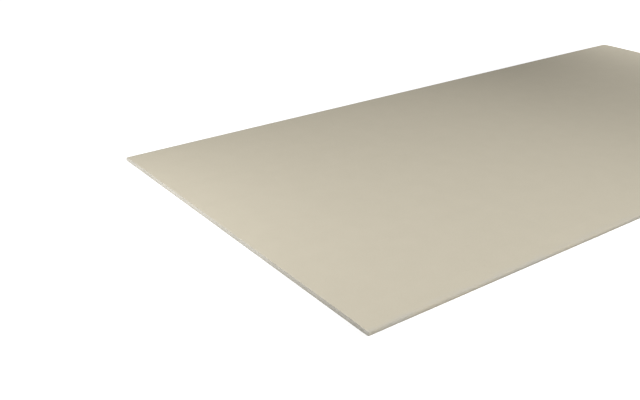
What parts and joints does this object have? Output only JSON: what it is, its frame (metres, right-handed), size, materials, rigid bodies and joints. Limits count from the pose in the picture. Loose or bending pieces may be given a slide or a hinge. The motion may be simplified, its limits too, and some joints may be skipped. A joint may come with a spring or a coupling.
{
  "type": "drywall sheet",
  "caption": "Flat paper-faced gypsum board with tapered, paper-wrapped long edges and square-cut ends, for lining walls and ceilings.",
  "frame": {"origin": "middle of the back of the sheet, on the surface that it lies on", "axes": "+X along the sheet, parallel to the tapered long edges; +Y across the sheet; +Z out of the face"},
  "size_m": [2.4384, 1.2192, 0.0127],
  "materials": {
    "face_paper": "matte"
  },
  "bodies": {
    "root": {"drywall_sheet": "face_paper"}
  },
  "joints": []
}
